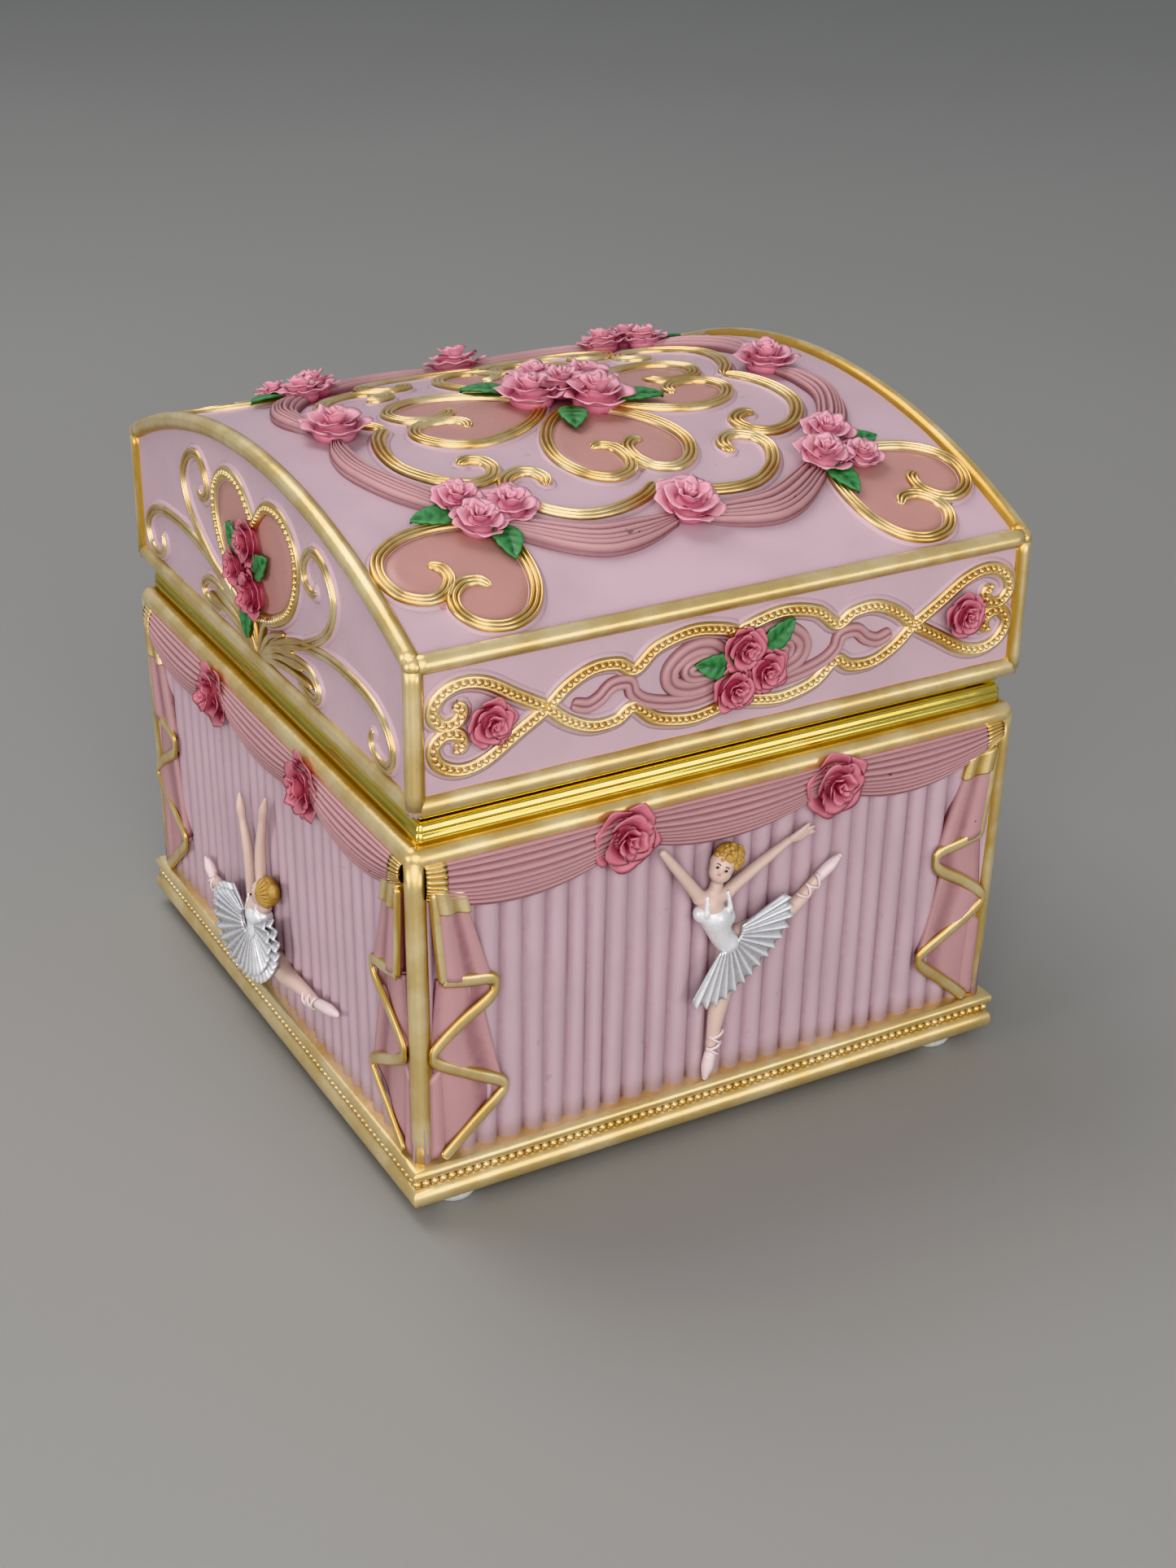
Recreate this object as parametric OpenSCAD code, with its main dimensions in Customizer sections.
// Ballerina jewellery box: a cast resin box with a barrel-topped lid, brass rims and a rear
// hinge, a mirror in the lid, a velvet tray, and a dancer that turns on a wind-up musical movement.
// Millimetres. X runs along the front's width, -Y is the front, +Y the hinge side, +Z up.
// The origin is the middle of the box's footprint, at the underside of its rubber feet.

/* [Casing] */
// Width of the lid over its edge mouldings
lid_w = 132; // [130:1:138]
// Depth of the lid over its edge mouldings
lid_d = 136.8; // [134:0.2:142]
// Width of the plinth
plinth_w = 134.5; // [133:0.5:142]
// Depth of the plinth
plinth_d = 138; // [137:0.5:146]
// Height of the plinth
plinth_h = 8.5; // [7:0.5:10]
// Height of the cast walls from the plinth's underside
body_h = 75.7; // [74:0.1:80]
// Height of the lid's straight sides
lid_side_h = 28.3; // [27:0.1:31]
// Rise of the lid's arch above its straight sides
arch_rise = 16.5; // [14:0.5:18]
// Thickness of the cast walls
wall = 5; // [4:0.5:6]
// Height of the rubber feet
foot_h = 3; // [2:0.5:4]
// Radius of the rubber feet
foot_r = 5; // [4:0.5:6]

/* [Rims and hinge] */
// How far the brass rims are set in from the lid's edge
rim_inset = 3; // [2.5:0.5:3.5]
// Width of the brass rims' flat face
rim_flange = 6; // [5:0.5:7]
// Height of the lower brass rim
base_rim_h = 4.2; // [4:0.1:4.5]
// Height of the upper brass rim
lid_rim_h = 2.9; // [2.5:0.1:3.2]
// Slit between the two rims when the lid is shut
rim_slit = 0.5; // [0.4:0.1:0.8]
// Radius of the hinge knuckles
knuckle_r = 1.5; // [1.3:0.1:1.6]
// Radius of the hinge pins
hinge_pin_r = 0.7; // [0.5:0.1:0.8]
// Running clearance of the hinge pins in the lid's knuckles
pin_clear = 0.05; // [0.03:0.01:0.1]
// Length of one hinge
hinge_len = 20; // [16:1:26]
// Distance of each hinge from the middle
hinge_x = 34; // [28:1:40]

/* [Interior] */
// Height of the tray's floor above the surface the box stands on
floor_z = 37; // [36:0.5:38]
// Height of the mirror's face above the same surface
mirror_z = 107.5; // [106:0.5:108]
// Place of the cross divider between the front compartment and the stage
divider_y = -10; // [-14:1:-8]
// Distance of the dancer behind the middle
dancer_y = 18; // [16:1:20]
// Radius of the stage
stage_r = 19; // [18:0.5:20]
// Height of the dancer from her toe to her fingertips
dancer_h = 56; // [52:1:57]

/* [Movement] */
// Teeth on the great wheel
great_teeth = 48; // [48]
// Teeth on the cylinder's pinion
pinion_teeth = 16; // [16]
// Pitch radius of the great wheel's crown teeth
great_r = 13.5; // [13.5]
// Radius of the spring barrel
barrel_r = 11.3; // [10.5:0.1:11.4]
// Radius of the music cylinder
cylinder_r = 5.6; // [5:0.1:5.7]
// Length of the music cylinder
cylinder_len = 20; // [20]
// Notes on the comb
notes = 18; // [18]
// Teeth on the cylinder's wheel
cylinder_teeth = 36; // [36]
// Teeth on the governor's pinion
governor_teeth = 9; // [9]
// Teeth on the worm wheel
worm_teeth = 12; // [12]

/* [Hidden] */
$fn = 64;

gap = 0.3;
eps = 0.01;

// Casing levels and outlines
plinth_top = foot_h + plinth_h;
body_top = foot_h + body_h;
base_rim_top = body_top + base_rim_h;
lid_rim_z = base_rim_top + rim_slit;
lid_z = lid_rim_z + lid_rim_h;
shoulder_z = lid_z + lid_side_h;
apex_z = shoulder_z + arch_rise;
arch_r = (pow(lid_d / 2, 2) + pow(arch_rise, 2)) / (2 * arch_rise);
arch_z = apex_z - arch_r;
wall_w = lid_w - 4;
wall_d = lid_d - 4.8;
inner_w = wall_w - 2 * wall;
inner_d = wall_d - 2 * wall;
lid_inner_w = lid_w - 2 * wall - 2;
lid_inner_d = lid_d - 2 * wall - 2;
rim_w = lid_w - 2 * rim_inset;
rim_d = lid_d - 2 * rim_inset;
edge_trim_r = 2;
rose_mound_h = 3.4;
rose_mound_r = 15;

// Hinge axis, in the slit between the rims and just behind them
hinge_z = base_rim_top + rim_slit / 2;
hinge_y = rim_d / 2 + knuckle_r + 0.4;
hinge_leaf_t = 0.8;

// Underside
cover_t = 1.5;
cover_z = foot_h + 9;
corner_w = 12;
post_r = 4;
post_x = inner_w / 2 - 3.6;
post_y = 24;
screw_r = 1.2;
screw_clear = 0.05;
deck_t = 2.5;
liner_t = 1;
deck_z = floor_z - liner_t - deck_t;
foot_x = plinth_w / 2 - foot_r - 6.2;
foot_y = plinth_d / 2 - foot_r - 2;

// Movement levels
bed_z = cover_z + cover_t;
bed_t = 1.5;
wheel_z = bed_z + bed_t + 0.6;
wheel_t = 1.2;
tooth_h = 1.3;
crown_pitch_z = wheel_z + wheel_t + tooth_h - 0.5;
pinion_r = great_r * pinion_teeth / great_teeth;
cylinder_z = crown_pitch_z + pinion_r;
barrel_z = wheel_z + wheel_t;
barrel_h = 10.5;
arbor_r = 1.5;
run_clear = 0.05;
crown_w = 2.2;
bracket_t = 1.2;
bracket_x = great_r + crown_w / 2 + 1;
cylinder_x = bracket_x + bracket_t + 0.8;
wheel_x = cylinder_x + cylinder_len + 0.6;
tail_bracket_x = wheel_x + 1.4 + 0.8;
cylinder_wheel_r = 6;
governor_pinion_r = cylinder_wheel_r * governor_teeth / cylinder_teeth;
governor_y = dancer_y + cylinder_wheel_r + governor_pinion_r;
worm_wheel_x = tail_bracket_x + bracket_t + 1.6;
worm_wheel_r = 2.8;
worm_r = 1.3;
worm_y = governor_y + worm_wheel_r + worm_r + 0.25;
worm_x = worm_wheel_x + 0.6;
end_bracket_x = worm_wheel_x + 4;
fly_r = 2.6;
stop_x = inner_w / 2 - 1;
stop_y = inner_d / 2 - 4;
stop_r = 0.7;

module box_at(w, d, z0, z1) {
    translate([-w / 2, -d / 2, z0]) cube([w, d, z1 - z0]);
}

module frame_at(w, d, side, z0, z1) {
    difference() {
        box_at(w, d, z0, z1);
        box_at(w - 2 * side, d - 2 * side, z0 - 1, z1 + 1);
    }
}

// A disc or rod from z0 to z1 about the point (x, y)
module rod_z(x, y, r, z0, z1) {
    translate([x, y, z0]) cylinder(r = r, h = z1 - z0);
}

// A disc or rod along X from x0 to x1 about the point (y, z)
module rod_x(y, z, r, x0, x1) {
    translate([x0, y, z]) rotate([0, 90, 0]) cylinder(r = r, h = x1 - x0);
}

module at_corners(x, y) {
    for (sx = [-1, 1], sy = [-1, 1])
        translate([sx * x, sy * y, 0]) children();
}

// Blunt moulding run round the outside of a box, centred at height z, standing r either way
module edge_moulding(w, d, z, r) {
    frame_at(w, d, 2 * r, z - r / 2, z + r / 2);
    frame_at(w - r, d - r, 1.5 * r, z - r, z + r);
}

// ---- Base casing ----

module base_shell() {
    color([0.78, 0.68, 0.73]) difference() {
        union() {
            frame_at(wall_w, wall_d, wall, foot_h, body_top);
            frame_at(plinth_w, plinth_d, (plinth_w - inner_w) / 2, foot_h, foot_h + plinth_h / 2);
            frame_at(plinth_w - 3, plinth_d - 3, (plinth_w - 3 - inner_w) / 2, foot_h, plinth_top);
            edge_moulding(wall_w + 4, wall_d + 4, body_top - edge_trim_r, edge_trim_r);
            edge_moulding(plinth_w - 1, plinth_d - 1, plinth_top - edge_trim_r, edge_trim_r);
            at_corners(inner_w / 2 - corner_w / 2 + eps, inner_d / 2 - corner_w / 2 + eps)
                box_at(corner_w, corner_w, foot_h, bed_z);
            at_corners(post_x, post_y) translate([0, 0, bed_z]) cylinder(r = post_r, h = deck_z - bed_z);
        }
        at_corners(post_x, post_y) cylinder(r = screw_r + screw_clear, h = bed_z + 9);
    }
}

module rubber_feet() {
    color([0.8, 0.8, 0.78]) at_corners(foot_x, foot_y)
        rotate_extrude() polygon(concat(
            [[0, foot_h], [foot_r, foot_h]],
            [for (a = [15:15:75]) [foot_r - 1.6 + 1.6 * cos(a), foot_h * (1 - sin(a))]],
            [[foot_r - 1.6, 0], [0, 0]]));
}

// Flat board let into the plinth's recess, cut away round the corner blocks
module bottom_cover() {
    color([0.13, 0.12, 0.13]) difference() {
        box_at(inner_w - 2 * gap, inner_d - 2 * gap, cover_z, bed_z);
        at_corners(inner_w / 2, inner_d / 2)
            box_at(2 * (corner_w + gap), 2 * (corner_w + gap), 0, bed_z + 1);
        at_corners(post_x, post_y) cylinder(r = screw_r + 0.3, h = bed_z + 1);
        bedplate_screw_places() cylinder(r = screw_r + 0.3, h = bed_z + 1);
        translate([0, dancer_y, 0]) cylinder(r = 3.2, h = bed_z + 1);
    }
}

module pan_screw(z, length) {
    translate([0, 0, z]) cylinder(r = screw_r, h = length);
    translate([0, 0, z - 1.2]) cylinder(r = 2.2, h = 1.2);
}

module cover_screws() {
    color([0.75, 0.75, 0.76]) at_corners(post_x, post_y) pan_screw(cover_z, 9);
}

// ---- Brass rims and hinge ----

// Its rear right corner has a web, which closes the shaft of the stop rod
module base_rim() {
    inner = [rim_w / 2 - rim_flange, rim_d / 2 - rim_flange];
    web = 6.2;
    color([0.8, 0.68, 0.25]) difference() {
        union() {
            frame_at(rim_w, rim_d, rim_flange, body_top, base_rim_top);
            translate([0, 0, body_top]) linear_extrude(1.5)
                polygon([inner + [1, 1], inner + [1, -web], inner + [-web, 1]]);
        }
        rod_z(stop_x, stop_y, stop_r + run_clear, 0, base_rim_top + 1);
    }
}

module lid_rim() {
    color([0.8, 0.68, 0.25])
        frame_at(rim_w, rim_d, rim_flange, lid_rim_z, lid_z);
}

module knuckle(x0, x1, bore) {
    difference() {
        rod_x(hinge_y, hinge_z, knuckle_r, x0, x1);
        rod_x(hinge_y, hinge_z, bore, x0 - 1, x1 + 1);
    }
}

// A leaf on a rim's rear face, from height z0 to z1, with a web out to the knuckle line
module hinge_leaf(x0, x1, z0, z1) {
    translate([x0, rim_d / 2, z0]) cube([x1 - x0, hinge_leaf_t, z1 - z0]);
}

module base_hinge_leaves() {
    knuckle_len = hinge_len / 3;
    color([0.78, 0.66, 0.28]) for (side = [-1, 1]) translate([side * hinge_x, 0, 0]) {
        hinge_leaf(-hinge_len / 2, hinge_len / 2, body_top, hinge_z - knuckle_r - 0.1);
        for (end = [-1, 1]) {
            x0 = end * (hinge_len - knuckle_len) / 2 - knuckle_len / 2 + gap / 2;
            hinge_leaf(x0, x0 + knuckle_len - gap, body_top, hinge_z - 0.3);
            difference() {
                translate([x0, rim_d / 2, hinge_z - knuckle_r])
                    cube([knuckle_len - gap, hinge_y - rim_d / 2, knuckle_r]);
                rod_x(hinge_y, hinge_z, hinge_pin_r, x0 - 1, x0 + knuckle_len + 1);
            }
            knuckle(x0, x0 + knuckle_len - gap, hinge_pin_r);
        }
    }
}

module lid_hinge_leaves() {
    knuckle_len = hinge_len / 3;
    x0 = -knuckle_len / 2 + gap / 2;
    x1 = knuckle_len / 2 - gap / 2;
    color([0.78, 0.66, 0.28]) for (side = [-1, 1]) translate([side * hinge_x, 0, 0]) {
        hinge_leaf(-hinge_len / 2, hinge_len / 2, hinge_z + knuckle_r + 0.3, lid_z);
        hinge_leaf(x0, x1, hinge_z + 0.3, lid_z);
        difference() {
            translate([x0, rim_d / 2, hinge_z])
                cube([x1 - x0, hinge_y - rim_d / 2, knuckle_r]);
            rod_x(hinge_y, hinge_z, hinge_pin_r + pin_clear, x0 - 1, x1 + 1);
        }
        knuckle(x0, x1, hinge_pin_r + pin_clear);
    }
}

module hinge_pins() {
    color([0.7, 0.6, 0.3]) for (side = [-1, 1])
        rod_x(hinge_y, hinge_z, hinge_pin_r,
            side * hinge_x - hinge_len / 2, side * hinge_x + hinge_len / 2);
}

// ---- Lid ----

// Solid under a barrel arch whose axis lies along X: width w, depth d, radius r, from z0 up
module arched_block(w, d, r, z0) {
    intersection() {
        rod_x(0, arch_z, r, -w / 2, w / 2);
        box_at(w, d, z0, apex_z + 1);
    }
}

module lid_shell() {
    color([0.78, 0.68, 0.73]) {
        difference() {
            arched_block(lid_w - 1, lid_d - 1, arch_r - 0.5, lid_z);
            arched_block(lid_inner_w, lid_inner_d, arch_r - wall, lid_z - 1);
        }
        edge_moulding(lid_w, lid_d, lid_z + edge_trim_r, edge_trim_r);
        rose_mound();
    }
}

// Low mound that the middle cluster of roses stands on
module rose_mound() {
    mound_r = (pow(rose_mound_r, 2) + pow(rose_mound_h, 2)) / (2 * rose_mound_h);
    intersection() {
        translate([0, 0, apex_z + rose_mound_h - mound_r]) sphere(r = mound_r);
        rod_z(0, 0, rose_mound_r + 0.5, apex_z - 3, apex_z + rose_mound_h + 1);
    }
}

// Velvet-covered card: a ceiling with short sides, glued into the lid
module lid_lining() {
    ceiling_z = mirror_z + 3.2;
    color([0.55, 0.16, 0.3]) difference() {
        box_at(lid_inner_w - 2 * gap, lid_inner_d - 2 * gap, lid_z + 1, ceiling_z);
        box_at(lid_inner_w - 2 * (gap + liner_t), lid_inner_d - 2 * (gap + liner_t),
            lid_z, ceiling_z - liner_t);
    }
}

module mirror_frame() {
    color([0.83, 0.68, 0.36]) difference() {
        box_at(96, 100, mirror_z - 1.2, mirror_z + 3.2 - liner_t);
        box_at(86, 90, mirror_z - 2, mirror_z + 0.1);
        box_at(90.2, 94.2, mirror_z, mirror_z + 4);
    }
}

module mirror() {
    color([0.8, 0.85, 0.88]) box_at(90, 94, mirror_z + 0.1, mirror_z + 2.1);
}

// ---- Tray ----

module deck_board() {
    color([0.6, 0.48, 0.34]) difference() {
        box_at(inner_w - 2 * gap, inner_d - 2 * gap, deck_z, deck_z + deck_t);
        translate([0, dancer_y, 0]) cylinder(r = 3, h = floor_z + 1);
        stop_rod_corner();
    }
}

// Corner shaft that the stop rod runs in, behind the tray's lining
module stop_rod_corner() {
    translate([inner_w / 2, inner_d / 2, 0]) rotate([0, 0, 45]) box_at(11, 11, 0, base_rim_top + 9);
}

module tray_lining() {
    color([0.55, 0.16, 0.3]) difference() {
        box_at(inner_w - 2 * gap, inner_d - 2 * gap, deck_z + deck_t, body_top - gap);
        difference() {
            box_at(inner_w - 2 * (gap + liner_t), inner_d - 2 * (gap + liner_t), floor_z, body_top);
            translate([inner_w / 2, inner_d / 2, 0]) rotate([0, 0, 45])
                box_at(11 + 2 * liner_t, 11 + 2 * liner_t, 0, body_top);
        }
        stop_rod_corner();
        translate([0, dancer_y, 0]) cylinder(r = 3, h = floor_z + 1);
    }
}

module cross_divider() {
    color([0.5, 0.14, 0.27]) translate([0, divider_y, 0])
        box_at(inner_w - 2 * (gap + liner_t) - 0.2, 3, floor_z, floor_z + 22);
}

// Three ring rolls side by side, lying along Y
module ring_cushion(side) {
    inner_x = stage_r + 4;
    outer_x = inner_w / 2 - gap - liner_t - 1;
    roll_r = (outer_x - inner_x) / 6;
    front_y = divider_y + 3;
    rear_y = inner_d / 2 - 10;
    color([0.5, 0.14, 0.27]) for (i = [0:2])
        translate([side * (inner_x + roll_r * (2 * i + 1)), front_y, 0]) {
            translate([0, 0, floor_z + 8]) rotate([-90, 0, 0])
                cylinder(r = roll_r, h = rear_y - front_y);
            translate([-roll_r, 0, floor_z]) cube([2 * roll_r, rear_y - front_y, 8]);
        }
}

module ring_cushion_left() {
    ring_cushion(-1);
}

module ring_cushion_right() {
    ring_cushion(1);
}

module stage() {
    color([0.9, 0.85, 0.83]) difference() {
        rod_z(0, dancer_y, stage_r, floor_z, floor_z + 4);
        rod_z(0, dancer_y, 2.6, 0, floor_z + 9);
    }
}

module stage_trim() {
    color([0.83, 0.68, 0.36]) translate([0, dancer_y, floor_z + 2]) rotate_extrude()
        translate([stage_r + 1, 0]) circle(r = 1);
}

// ---- Dancer ----

dancer_z = floor_z + 9;
hip_z = dancer_z + 0.5 * dancer_h;
shoulder_dz = 0.7 * dancer_h;

module dancer_spindle() {
    color([0.75, 0.75, 0.76]) difference() {
        union() {
            rod_z(0, dancer_y, 1.6, barrel_z + barrel_h, floor_z + 4.5);
            rod_z(0, dancer_y, 2.4, floor_z + 4.5, floor_z + 6);
        }
        rod_z(0, dancer_y, arbor_r + run_clear, 0, barrel_z + barrel_h + 1.2);
    }
}

// Close-wound spring under her toe, as a sleeve
module dancer_spring() {
    color([0.75, 0.75, 0.76]) difference() {
        rod_z(0, dancer_y, 1.8, floor_z + 6, dancer_z);
        rod_z(0, dancer_y, 1.1, floor_z + 5, dancer_z + 1);
    }
}

module limb(from, to, r0, r1) {
    d = to - from;
    length = norm(d);
    translate(from) rotate([0, acos(d[2] / length), atan2(d[1], d[0])])
        cylinder(r1 = r0, r2 = r1, h = length);
    translate(to) sphere(r = r1 + 0.15);
}

module dancer() {
    shoulder_z = dancer_z + shoulder_dz;
    head_z = shoulder_z + 0.13 * dancer_h;
    head_r = 0.055 * dancer_h;
    top_z = dancer_z + dancer_h;
    color([0.93, 0.76, 0.68]) translate([0, dancer_y, 0]) {
        limb([0, 0, dancer_z], [0, 0, hip_z], 0.9, 2);
        limb([0, 0, hip_z], [0, 0, shoulder_z - 1], 2.6, 2.4);
        limb([0, 0, shoulder_z - 1], [0, 0, head_z], 1, 1);
        translate([0, 0, head_z]) sphere(r = head_r);
        for (side = [-1, 1]) {
            limb([side * 1.6, 0, shoulder_z - 1], [side * 6, -1, shoulder_z + 6], 1, 0.8);
            limb([side * 6, -1, shoulder_z + 6], [side * 1.5, -1.5, top_z - 0.6], 0.8, 0.6);
        }
    }
}

module dancer_tutu() {
    color([0.96, 0.9, 0.93]) translate([0, dancer_y, hip_z]) rotate_extrude() polygon([
        [2.7, -1.5], [6, -0.5], [13.5, -1.6], [14, -0.4], [6, 1.4], [2.7, 1.6]]);
}

// ---- Musical movement ----

module bedplate_screw_places() {
    for (p = [[-12, dancer_y - 12], [-12, dancer_y + 12], [44, dancer_y - 18]])
        translate(p) children();
}

module bedplate() {
    color([0.72, 0.6, 0.32]) difference() {
        union() {
            translate([-16, dancer_y - 22, bed_z]) cube([68, 40, bed_t]);
            translate([cylinder_x - 1, dancer_y - 21, bed_z]) cube([cylinder_len + 2, 7, comb_z - bed_z]);
        }
        rod_z(0, dancer_y, arbor_r + run_clear, 0, 40);
        comb_screw_places() cylinder(r = 0.85, h = 60);
        bedplate_screw_places() cylinder(r = screw_r + screw_clear, h = 60);
    }
}

module bedplate_screws() {
    color([0.75, 0.75, 0.76]) bedplate_screw_places() pan_screw(cover_z, cover_t + bed_t);
}

// Upright bearing plate across X, with a foot flange
module bearing_plate(x, y0, y1, top) {
    translate([x, y0, bed_z + bed_t]) cube([bracket_t, y1 - y0, top - bed_z - bed_t]);
}

module cylinder_bracket() {
    color([0.72, 0.6, 0.32]) difference() {
        union() {
            bearing_plate(bracket_x, dancer_y - 6, dancer_y + 6, cylinder_z + 3);
            bearing_plate(tail_bracket_x, dancer_y - 6, governor_y + 3, cylinder_z + 3);
        }
        rod_x(dancer_y, cylinder_z, 1 + run_clear, 0, 99);
        rod_x(governor_y, cylinder_z, 0.6 + run_clear, 0, 99);
    }
}

module governor_bracket() {
    top = worm_top + 1.4;
    color([0.72, 0.6, 0.32]) difference() {
        union() {
            bearing_plate(end_bracket_x, governor_y - 3, worm_y + 2, top);
            translate([worm_x - 2, worm_y - 2, top - 1]) cube([end_bracket_x - worm_x + 2.5, 4, 1]);
        }
        rod_x(governor_y, cylinder_z, 0.6 + run_clear, 0, 99);
        rod_z(worm_x, worm_y, 0.5 + run_clear, 0, 60);
    }
}

comb_t = 1;
comb_z = cylinder_z - comb_t / 2;
comb_tip_y = dancer_y - cylinder_r - 0.7 - gap;

module comb_screw_places() {
    for (s = [-1, 1])
        translate([cylinder_x + cylinder_len / 2 + s * 6, dancer_y - 17.5, 0]) children();
}

// Steel comb: one tooth to a note, each a little shorter than the one below it
module comb() {
    pitch = cylinder_len / notes;
    color([0.62, 0.63, 0.65]) difference() {
        translate([cylinder_x, dancer_y - 21, comb_z]) cube([cylinder_len, comb_tip_y - dancer_y + 21, comb_t]);
        for (i = [1:notes - 1])
            translate([cylinder_x + i * pitch - 0.1, dancer_y - 14 + 0.15 * i, 0])
                cube([0.2, 20, 60]);
        comb_screw_places() cylinder(r = 0.85, h = 60);
    }
}

module comb_screws() {
    color([0.75, 0.75, 0.76]) comb_screw_places() {
        translate([0, 0, comb_z + comb_t]) cylinder(r = 1.7, h = 1.1);
        translate([0, 0, comb_z - 4]) cylinder(r = 0.8, h = 4 + comb_t);
    }
}

// Disc with a ring of upright crown teeth
module great_wheel() {
    pitch = 360 / great_teeth;
    color([0.8, 0.66, 0.3]) translate([0, dancer_y, 0]) difference() {
        union() {
            rod_z(0, 0, great_r + crown_w / 2, wheel_z, wheel_z + wheel_t);
            for (i = [0:great_teeth - 1])
                rotate([0, 0, (i + 0.5) * pitch])
                    translate([great_r - crown_w / 2 + 0.1, -0.3, wheel_z + wheel_t - eps])
                        cube([crown_w - 0.3, 0.6, tooth_h]);
        }
        rod_z(0, 0, arbor_r + run_clear, 0, 60);
    }
}

module spring_barrel() {
    inner_r = barrel_r - 0.8;
    color([0.82, 0.7, 0.36]) translate([0, dancer_y, 0]) difference() {
        rod_z(0, 0, barrel_r, barrel_z, barrel_z + barrel_h);
        rod_z(0, 0, inner_r, barrel_z - 1, barrel_z + barrel_h - 1);
        rod_z(0, 0, arbor_r + run_clear, 0, 60);
    }
}

// Mainspring, as nested coils
module mainspring() {
    color([0.45, 0.46, 0.5]) translate([0, dancer_y, barrel_z + 0.5])
        for (r = [3.4:1.32:10]) difference() {
            cylinder(r = r + 0.5, h = barrel_h - 2);
            translate([0, 0, -1]) cylinder(r = r, h = barrel_h);
        }
}

module winding_arbor() {
    color([0.7, 0.7, 0.72]) {
        rod_z(0, dancer_y, arbor_r, key_z + 4, barrel_z + barrel_h + 1);
        translate([0, dancer_y, barrel_z + 0.5]) cylinder(r = 2.6, h = barrel_h - 2);
    }
}

key_z = foot_h + 1.2;

module winding_key() {
    color([0.83, 0.7, 0.36]) translate([0, dancer_y, key_z]) difference() {
        union() {
            cylinder(r = 3, h = 7);
            for (s = [-1, 1]) {
                translate([s * 7, 0.8, 3.2]) rotate([90, 0, 0]) cylinder(r = 3.2, h = 1.6);
                translate([s * 4 - 3, -0.8, 1.4]) cube([6, 1.6, 3.6]);
            }
        }
        translate([0, 0, 4]) cylinder(r = arbor_r, h = 9);
        for (s = [-1, 1])
            translate([s * 7, 5, 3.2]) rotate([90, 0, 0]) cylinder(r = 1.4, h = 10);
    }
}

// Spur wheel along X: straight teeth on a root disc
module spur_x(y, z, x0, width, teeth, root_r, tip_r, tooth_w, phase) {
    rod_x(y, z, root_r, x0, x0 + width);
    for (i = [0:teeth - 1])
        translate([x0, y, z]) rotate([(i + phase) * 360 / teeth, 0, 0])
            translate([0, -tooth_w / 2, 0]) cube([width, tooth_w, tip_r]);
}

module cylinder_arbor() {
    color([0.7, 0.7, 0.72])
        rod_x(dancer_y, cylinder_z, 1, great_r - crown_w / 2 - 0.5, tail_bracket_x + bracket_t + 0.5);
}

module cylinder_pinion() {
    x0 = great_r - crown_w / 2 + 0.1;
    color([0.8, 0.66, 0.3]) difference() {
        spur_x(dancer_y, cylinder_z, x0, crown_w - 0.3, pinion_teeth, pinion_r - 0.75,
            pinion_r + 0.35, 0.55, 0);
        rod_x(dancer_y, cylinder_z, 1, 0, 99);
    }
}

module music_cylinder() {
    pitch = cylinder_len / notes;
    color([0.85, 0.74, 0.42]) difference() {
        union() {
            rod_x(dancer_y, cylinder_z, cylinder_r, cylinder_x, cylinder_x + cylinder_len);
            for (i = [0:notes - 1], k = [0:4])
                translate([cylinder_x + (i + 0.5) * pitch, dancer_y, cylinder_z])
                    rotate([(i * 137.5 + k * (61 + 7 * (i % 3))) % 360, 0, 0])
                        cylinder(r = 0.2, h = cylinder_r + 0.6, $fn = 6);
        }
        rod_x(dancer_y, cylinder_z, 1, 0, 99);
    }
}

module cylinder_wheel() {
    color([0.8, 0.66, 0.3]) difference() {
        spur_x(dancer_y, cylinder_z, wheel_x, 1.2, cylinder_teeth, cylinder_wheel_r - 0.45,
            cylinder_wheel_r + 0.25, 0.38, 0.5);
        rod_x(dancer_y, cylinder_z, 1, 0, 99);
    }
}

// Arbor with the small pinion that the cylinder's wheel turns
module governor_arbor() {
    color([0.7, 0.7, 0.72]) {
        rod_x(governor_y, cylinder_z, 0.6, wheel_x - 0.4, end_bracket_x + bracket_t + 0.3);
        spur_x(governor_y, cylinder_z, wheel_x, 1.2, governor_teeth, governor_pinion_r - 0.45,
            governor_pinion_r + 0.25, 0.38, 0.25);
    }
}

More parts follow.
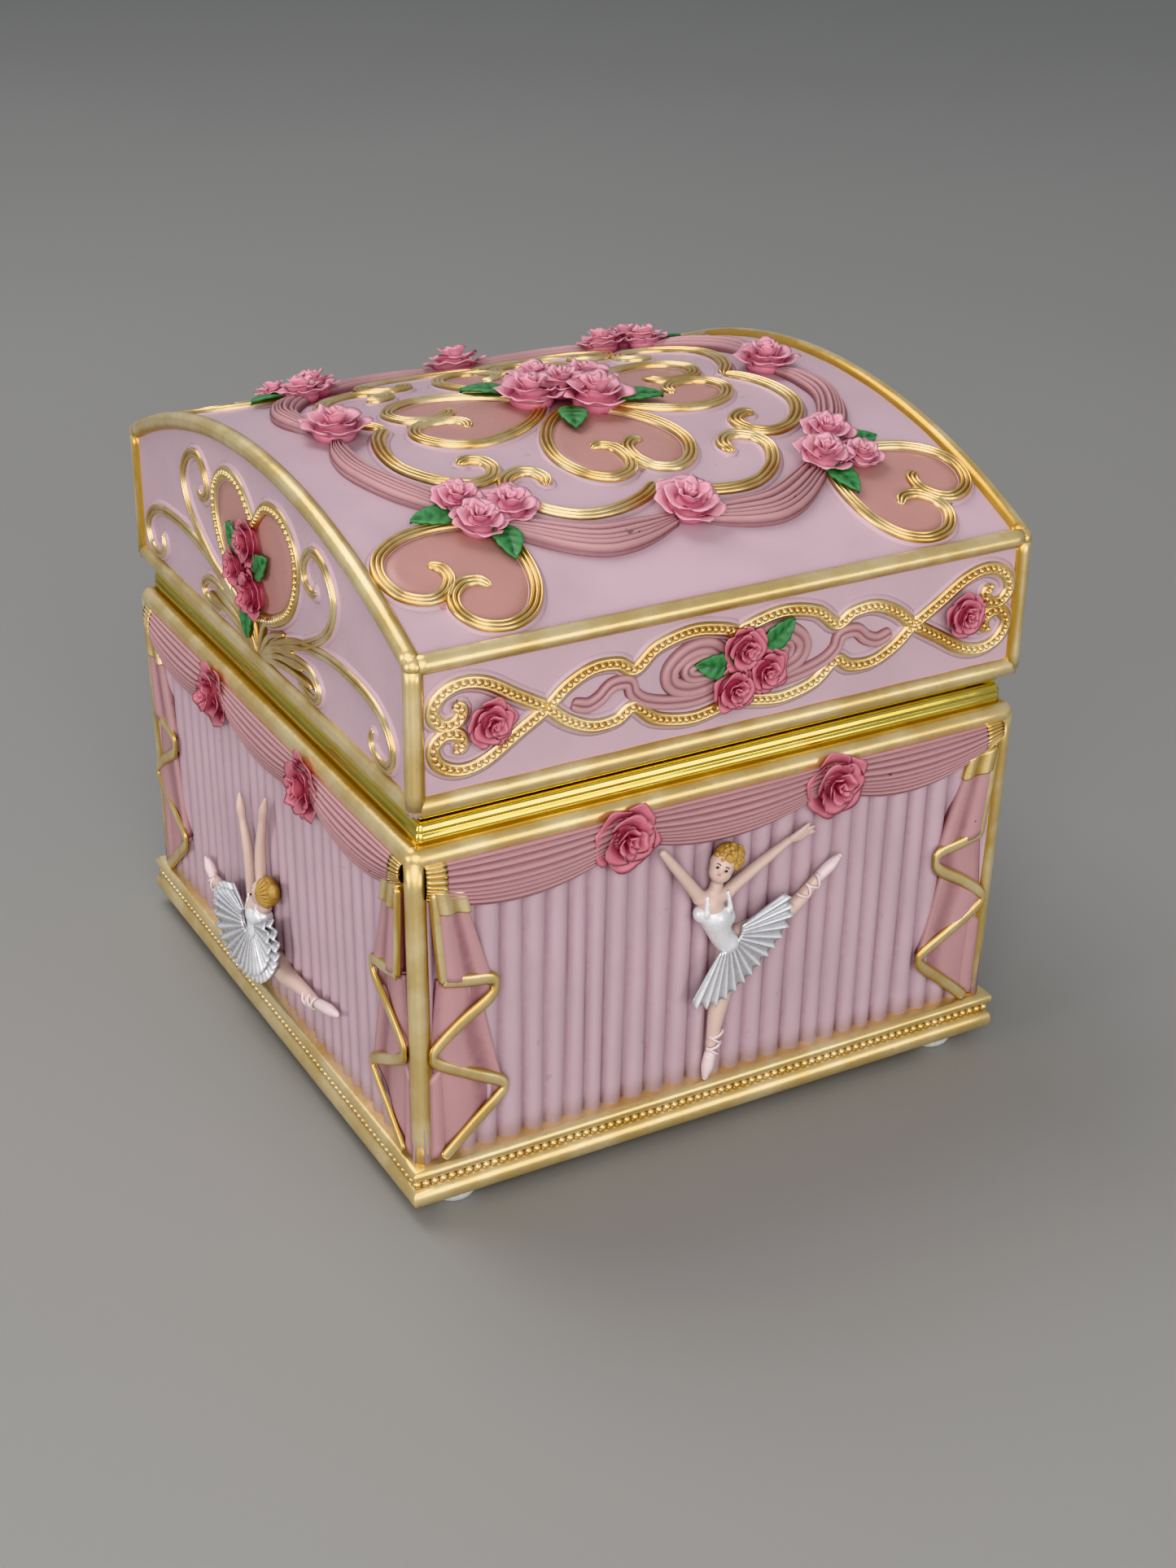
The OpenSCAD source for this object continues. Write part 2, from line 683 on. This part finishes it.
module worm_wheel() {
    color([0.9, 0.88, 0.8]) difference() {
        spur_x(governor_y, cylinder_z, worm_wheel_x, 1.2, worm_teeth, worm_wheel_r - 0.5,
            worm_wheel_r, 0.5, 0);
        rod_x(governor_y, cylinder_z, 0.6, 0, 99);
    }
}

worm_top = deck_z - 2.5;

module governor_worm() {
    color([0.7, 0.7, 0.72]) {
        rod_z(worm_x, worm_y, 0.5, bed_z + bed_t + 0.2, worm_top + 1.6);
        rod_z(worm_x, worm_y, worm_r - 0.3, cylinder_z - 3.5, cylinder_z + 3.5);
        for (i = [-4:4])
            rod_z(worm_x, worm_y, worm_r, cylinder_z + i * 0.8 - 0.15, cylinder_z + i * 0.8 + 0.15);
    }
}

module governor_fly() {
    color([0.93, 0.93, 0.9]) difference() {
        union() {
            rod_z(worm_x, worm_y, 1.1, cylinder_z + 4, worm_top);
            translate([worm_x, worm_y, cylinder_z + 4])
                box_at(2 * fly_r, 0.6, 0, worm_top - cylinder_z - 4);
        }
        rod_z(worm_x, worm_y, 0.5, 0, 60);
    }
}

// Rod pressed down by the shut lid, with an arm that reaches in beside the fly
module stop_rod() {
    arm_z = cylinder_z + 5;
    tip = [worm_x + 1, worm_y + fly_r + 2 * gap];
    heel = [stop_x, stop_y];
    reach = norm(tip - heel);
    color([0.72, 0.72, 0.74]) {
        rod_z(stop_x, stop_y, stop_r, arm_z, base_rim_top);
        translate([heel[0], heel[1], arm_z])
            rotate([0, 0, atan2(tip[1] - heel[1], tip[0] - heel[0])])
                translate([0, -0.5, 0]) cube([reach, 1, 0.8]);
    }
}

base_shell();
base_rim();
base_hinge_leaves();
hinge_pins();
rubber_feet();
bottom_cover();
cover_screws();
deck_board();
tray_lining();
cross_divider();
ring_cushion_left();
ring_cushion_right();
stage();
stage_trim();
lid_shell();
lid_rim();
lid_hinge_leaves();
lid_lining();
mirror_frame();
mirror();
bedplate();
bedplate_screws();
cylinder_bracket();
governor_bracket();
comb();
comb_screws();
great_wheel();
spring_barrel();
mainspring();
dancer_spindle();
dancer_spring();
dancer();
dancer_tutu();
winding_arbor();
winding_key();
music_cylinder();
cylinder_arbor();
cylinder_pinion();
cylinder_wheel();
governor_arbor();
worm_wheel();
governor_worm();
governor_fly();
stop_rod();
